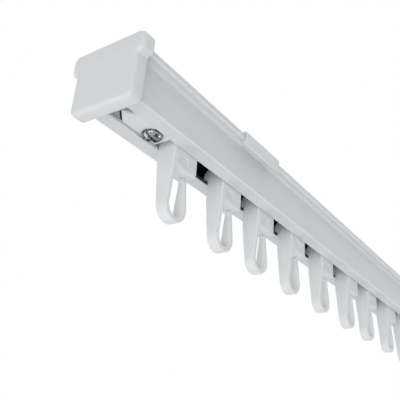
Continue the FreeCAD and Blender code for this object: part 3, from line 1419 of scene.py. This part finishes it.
@dataclass
class GliderSet:
    """The moulded gliders: a half-round head on the lips, a neck in the slot and an open hook below."""

    rail: Rail
    head_radius: float = 4.4 * MM
    head_clearance: float = 0.3 * MM
    neck_clearance: float = 0.15 * MM
    block_drop: float = 5.2 * MM
    ease: float = 0.4 * MM
    leg_stand: float = 0.08 * MM
    hook_thickness: float = 1.6 * MM
    hook_outer_width: float = 8.8 * MM
    bend_width: float = 3.5 * MM
    tip_width: float = 2.2 * MM
    tip_ball: float = 2.3 * MM
    tip_gap: float = 0.35 * MM
    pocket_margin: float = 0.7 * MM
    pocket_length: float = 4.0 * MM
    pocket_height: float = 2.6 * MM
    pocket_depth: float = 0.15 * MM
    finish: Finish = GLIDER_NYLON

    def __post_init__(self) -> None:
        """Reads the first glider's size from the frame and works out its heights."""
        low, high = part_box("glider_01")
        self.length = high.x - low.x
        self.lowest = low.z
        self.half_neck = self.rail.slot / 2 - self.neck_clearance
        self.seat = self.rail.lip_top + self.head_clearance
        self.block_bottom = self.rail.bottom - self.block_drop

    def body(self, shell: Shell) -> None:
        """Adds the head, neck and block as one bar just behind the leg's front at X = 0.

        Args:
            shell: The block's mesh.
        """
        section = both_sides([
            Corner(self.half_neck, self.block_bottom, 0.45 * MM),
            Corner(self.half_neck, self.seat, 0.15 * MM),
            Corner(self.head_radius, self.seat, 0.45 * MM),
            Corner(self.head_radius, self.seat + self.head_radius, self.head_radius - 0.5 * MM),
        ])
        shell.bar(section, self.leg_stand, self.length, self.ease, 4)

    def pocket(self, side: int) -> bpy.types.Mesh:
        """Cutter for the shallow pocket in one side of the block.

        Args:
            side: -1 or 1.

        Returns:
            The cutter.
        """
        start = self.hook_thickness + self.pocket_margin
        floor = self.half_neck - self.pocket_depth
        middle = self.rail.bottom - self.block_drop / 2
        face = self.half_neck + 0.3 * MM
        half = self.pocket_height / 2
        corners = [
            Corner(floor, middle - half, 0.15 * MM),
            Corner(face, middle - half, 0.15 * MM),
            Corner(face, middle + half, 0.15 * MM),
            Corner(floor, middle + half, 0.15 * MM),
        ]
        shell = Shell()
        shell.bar(corners, start, start + self.pocket_length, 0.2 * MM)
        mesh = shell.finish("pocket")
        if side < 0:
            mesh.transform(Matrix.Rotation(math.pi, 4, "Z"))
            mesh.transform(Matrix.Translation((2 * start + self.pocket_length, 0.0, 0.0)))
        return mesh

    def hook_loop(self, centre: Vector, along: Vector, thickness: float, width: float, soft: float) -> Loop:
        """One rounded section of the hook.

        Args:
            centre: Its centre.
            along: Direction of the hook there, in the XZ plane.
            thickness: Size in the hook's plane.
            width: Size across it.
            soft: Radius of its corners, as a share of its smaller size.

        Returns:
            The section's points.
        """
        out = Vector((-along.z, 0.0, along.x))
        half_t = thickness / 2
        half_w = width / 2
        radius = soft * min(thickness, width)
        corners = [
            Corner(half_t, -half_w, radius),
            Corner(half_t, half_w, radius),
            Corner(-half_t, half_w, radius),
            Corner(-half_t, -half_w, radius),
        ]
        return [centre + out * t + Vector((0.0, w, 0.0)) for t, w in rounded(corners, 0.0, 5)]

    def hook(self, shell: Shell) -> None:
        """Adds the hook: a tapering front leg, a round bend, a thin back leg and a ball tip.

        Args:
            shell: The hook's mesh.
        """
        down = Vector((0.0, 0.0, -1.0))
        up = Vector((0.0, 0.0, 1.0))
        bend_radius = self.hook_outer_width / 2
        bend_x = bend_radius
        bend_z = self.lowest + bend_radius
        middle = bend_radius - self.hook_thickness / 2
        wide = 2 * self.half_neck - 0.1 * MM
        leg_x = self.hook_thickness / 2
        firm = 0.3
        round_tip = 0.49
        top = self.seat + 0.6 * self.head_radius
        loops = [self.hook_loop(Vector((leg_x, 0.0, top)), down, self.hook_thickness, wide, firm)]
        for step in range(9):
            part = step / 8
            centre = Vector((leg_x, 0.0, self.block_bottom + (bend_z - self.block_bottom) * part))
            width = wide + (self.bend_width - wide) * part
            loops.append(self.hook_loop(centre, down, self.hook_thickness, width, firm))
        turns = 20
        for turn in range(1, turns + 1):
            angle = math.pi * turn / turns
            centre = Vector((bend_x - middle * math.cos(angle), 0.0, bend_z - middle * math.sin(angle)))
            along = Vector((math.sin(angle), 0.0, -math.cos(angle)))
            loops.append(self.hook_loop(centre, along, self.hook_thickness, self.bend_width, firm))
        ball = self.tip_ball / 2
        tip_z = self.block_bottom - self.tip_gap - ball
        back_x = self.hook_outer_width - self.hook_thickness / 2
        meets = math.asin(min(1.0, self.tip_width / self.tip_ball))
        neck_z = tip_z - ball * math.cos(meets)
        for step in range(1, 7):
            part = step / 6
            centre = Vector((back_x, 0.0, bend_z + (neck_z - bend_z) * part))
            width = self.bend_width + (self.tip_width - self.bend_width) * part
            soft = firm + (round_tip - firm) * part
            loops.append(self.hook_loop(centre, up, self.hook_thickness, width, soft))
        for step in range(1, 12):
            angle = meets + (math.pi - 0.06 - meets) * step / 11
            centre = Vector((back_x, 0.0, tip_z - ball * math.cos(angle)))
            across = 2 * ball * math.sin(angle)
            loops.append(self.hook_loop(centre, up, across, across, round_tip))
        shell.skin(loops)

    def pattern(self) -> bpy.types.Mesh:
        """One glider with its front face at X = 0.

        Returns:
            The mesh that every glider is placed from.
        """
        block = Shell()
        self.body(block)
        mesh = block.finish("glider_block")
        for side in (-1, 1):
            mesh = carved(mesh, self.pocket(side))
        hook = Shell()
        self.hook(hook)
        return combined(mesh, hook.finish("glider_hook"), "UNION")

    def build(self) -> list[bpy.types.Object]:
        """Places one glider on each glider body.

        Returns:
            The gliders in order.
        """
        pattern = self.pattern()
        material = self.finish.make()
        recipe = place_recipe()
        made = []
        for body in sorted(name for name in frame["bodies"] if name.startswith("glider_")):
            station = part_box(body)[0].x
            name = "moulded_" + body
            mesh = recipe.run(name, pattern.copy(), material, Station=station)
            piece = show(name, smooth(mesh))
            fasten(piece, body, body)
            made.append(piece)
        return made


@dataclass(frozen=True)
class Softbox:
    """A square soft light: its place and target in metres, the length of its sides and its watts."""

    name: str
    place: Vector
    target: Vector
    size: float
    power: float

    def hang(self) -> None:
        """Hangs the light out of the camera's sight."""
        data = bpy.data.lights.new(self.name, "AREA")
        data.size = self.size
        data.energy = self.power
        lamp = bpy.data.objects.new(self.name, data)
        lamp.location = self.place
        lamp.visible_camera = False
        lamp.rotation_euler = (self.target - self.place).to_track_quat("-Z", "Y").to_euler()
        bpy.context.scene.collection.objects.link(lamp)


@dataclass
class Studio:
    """Camera, floor and light for the photograph's view from below the near end."""

    camera_place: Vector = Vector((-376.76, -88.29, -93.43)) * MM
    camera_right: Vector = Vector((0.56818981, -0.81959258, 0.0736773))
    camera_down: Vector = Vector((0.38767267, 0.18762727, -0.90249981))
    camera_forward: Vector = Vector((0.72585827, 0.54135387, 0.42434155))
    focal_pixels: float = 595.38
    frame_pixels: float = 400.0
    floor_height: float = -1.6
    floor_size: float = 6.0
    floor_tone: tuple[float, float, float] = (0.86, 0.86, 0.86)
    floor_white: float = 0.6
    sky_strength: float = 0.47
    near_end: Vector = Vector((-0.25, 0.0, -0.01))

    def camera(self) -> None:
        """Sets up the camera that the photograph was taken with."""
        data = bpy.data.cameras.new("photo_camera")
        data.sensor_width = 36.0
        data.lens = self.focal_pixels / self.frame_pixels * data.sensor_width
        data.clip_start = 0.01
        data.clip_end = 50.0
        camera = bpy.data.objects.new("photo_camera", data)
        turned = Matrix((self.camera_right, -self.camera_down, -self.camera_forward)).transposed()
        camera.matrix_world = Matrix.Translation(self.camera_place) @ turned.to_4x4()
        bpy.context.scene.collection.objects.link(camera)
        bpy.context.scene.camera = camera

    def seen_ray(self, graph: Graph) -> Sock:
        """1 on a ray from the camera, also by way of gloss or glass, else 0.

        Args:
            graph: Graph of the floor or the sky.

        Returns:
            The mask.
        """
        kinds = ("Is Camera Ray", "Is Glossy Ray", "Is Transmission Ray")
        camera, glossy, through = (graph.add("ShaderNodeLightPath", output=kind) for kind in kinds)
        return (camera + glossy + through).over(0.5)

    def floor(self) -> None:
        """Lays a plain pale floor well below the track, which fades into the white background."""
        half = self.floor_size / 2
        mesh = bpy.data.meshes.new("floor")
        corners = [(-half, -half), (half, -half), (half, half), (-half, half)]
        mesh.from_pydata([(x, y, self.floor_height) for x, y in corners], [], [(0, 1, 2, 3)])
        material, graph = blank_material("floor_paint")
        place = graph.add("ShaderNodeTexCoord", output="Object")
        clouds = graph.noise(place, 3.0, 3.0)
        dim = tuple(0.97 * tone for tone in self.floor_tone)
        colour = graph.mix(clouds, (*self.floor_tone, 1.0), (*dim, 1.0))
        paint = graph.add("ShaderNodeBsdfPrincipled", {}, {"Base Color": colour, "Roughness": 0.8})
        white = graph.add("ShaderNodeEmission", {}, {"Color": (1.0, 1.0, 1.0, 1.0), "Strength": 1.0})
        level = graph.add("ShaderNodeVectorMath", {"operation": "MULTIPLY"}, {0: place, 1: (1.0, 1.0, 0.0)})
        reach = graph.add("ShaderNodeVectorMath", {"operation": "LENGTH"}, {0: level}, output="Value")
        fade = self.floor_white + reach.ramp(0.0, 0.95 * half) * (1.0 - self.floor_white)
        surface = graph.add("ShaderNodeMixShader", {}, {0: self.seen_ray(graph) * fade, 1: paint, 2: white})
        graph.add("ShaderNodeOutputMaterial", {}, {"Surface": surface})
        mesh.materials.append(material)
        show("floor", mesh)

    def sky(self) -> None:
        """Gives a white background to the camera and a softer light to everything else."""
        world = bpy.data.worlds.new("studio")
        world.use_nodes = True
        world.node_tree.nodes.clear()
        graph = Graph(world.node_tree)
        strength = self.sky_strength + self.seen_ray(graph) * (1.0 - self.sky_strength)
        light = graph.add("ShaderNodeBackground", {}, {"Color": (1.0, 1.0, 1.0, 1.0), "Strength": strength})
        graph.add("ShaderNodeOutputWorld", {}, {"Surface": light})
        bpy.context.scene.world = world

    def lamps(self) -> list[Softbox]:
        """The soft lights round the near end, over the track and over the floor.

        Returns:
            The lights.
        """
        near = self.near_end
        centre = Vector((0.0, 0.0, self.floor_height))
        return [
            Softbox("front_light", near + Vector((-1.08, -0.46, -0.42)), near, 0.7, 4.9),
            Softbox("low_light", near + Vector((-0.3, -0.35, -0.80)), near, 0.7, 0.9),
            Softbox("under_light", near + Vector((-0.3, 0.75, -0.75)), near, 0.7, 1.7),
            Softbox("edge_light", near + Vector((1.09, -0.636, -0.81)), near, 0.4, 1.4),
            Softbox("floor_light", centre + Vector((0.0, 0.0, 0.5)), centre, 3.2, 6.0),
            Softbox("top_light", near + Vector((0.25, -0.3, 1.2)), near, 1.2, 5.0),
        ]

    def build(self) -> None:
        """Builds the whole studio."""
        self.camera()
        self.floor()
        self.sky()
        for lamp in self.lamps():
            lamp.hang()
        bpy.context.scene.view_settings.view_transform = "Standard"


def main() -> None:
    """Builds the track piece by piece, then the studio round it."""
    logging.basicConfig(level=logging.INFO, format="%(name)s: %(message)s")
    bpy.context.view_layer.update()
    rail = Rail()
    rail.build()
    cap_plastic = EndCap.plastic(rail)
    stop_plastic = STOP_PLASTIC.make()
    clip_coat = CLIP_COAT.make()
    for end in End:
        stop = EndStop(rail, end, stop_plastic)
        stop.build()
        EndCap(rail, end, stop, cap_plastic).build()
        CeilingClip(rail, end, clip_coat).build()
    ClampScrews().build()
    GliderSet(rail).build()
    Studio().build()


if __name__ == "__main__":
    main()
